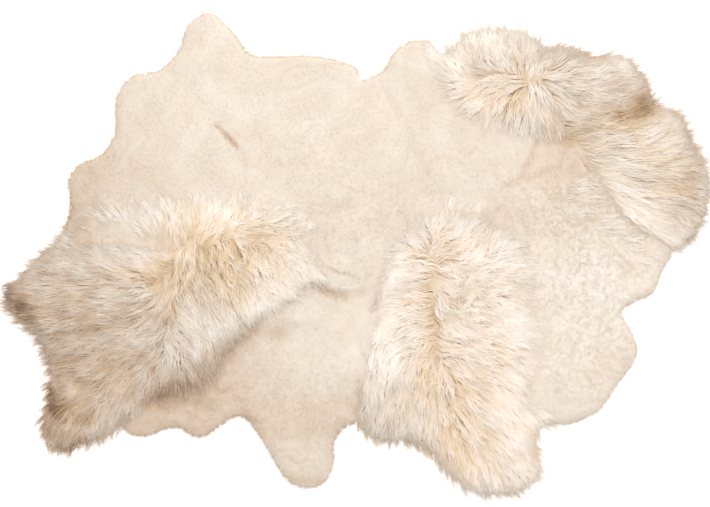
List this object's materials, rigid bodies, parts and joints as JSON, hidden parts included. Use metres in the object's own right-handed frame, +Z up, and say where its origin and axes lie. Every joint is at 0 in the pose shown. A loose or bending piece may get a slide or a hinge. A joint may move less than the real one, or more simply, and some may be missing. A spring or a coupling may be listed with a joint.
{
  "type": "sheepskin rug",
  "caption": "Flat sheepskin rug of natural pelts sewn edge to edge, clipped short over most of its area with broad patches of long wool.",
  "frame": {"origin": "on the floor, under the middle of the rug's bounding box", "axes": "+X along the rug's length, towards the pelt with the long fringe on its right end; +Y across it, towards the neck tab; +Z up, out of the wool side"},
  "size_m": [1.8934, 1.2948, 0.0639],
  "materials": {
    "wool": "undyed ivory wool, matt, clipped short or left long",
    "skin": "tanned skin with a suede nap",
    "thread": "waxed sewing thread"
  },
  "bodies": {
    "root": {"pelt_upper_left": "wool", "pelt_lower_left": "wool", "pelt_upper_right": "wool", "pelt_lower_right": "wool"}
  },
  "joints": []
}
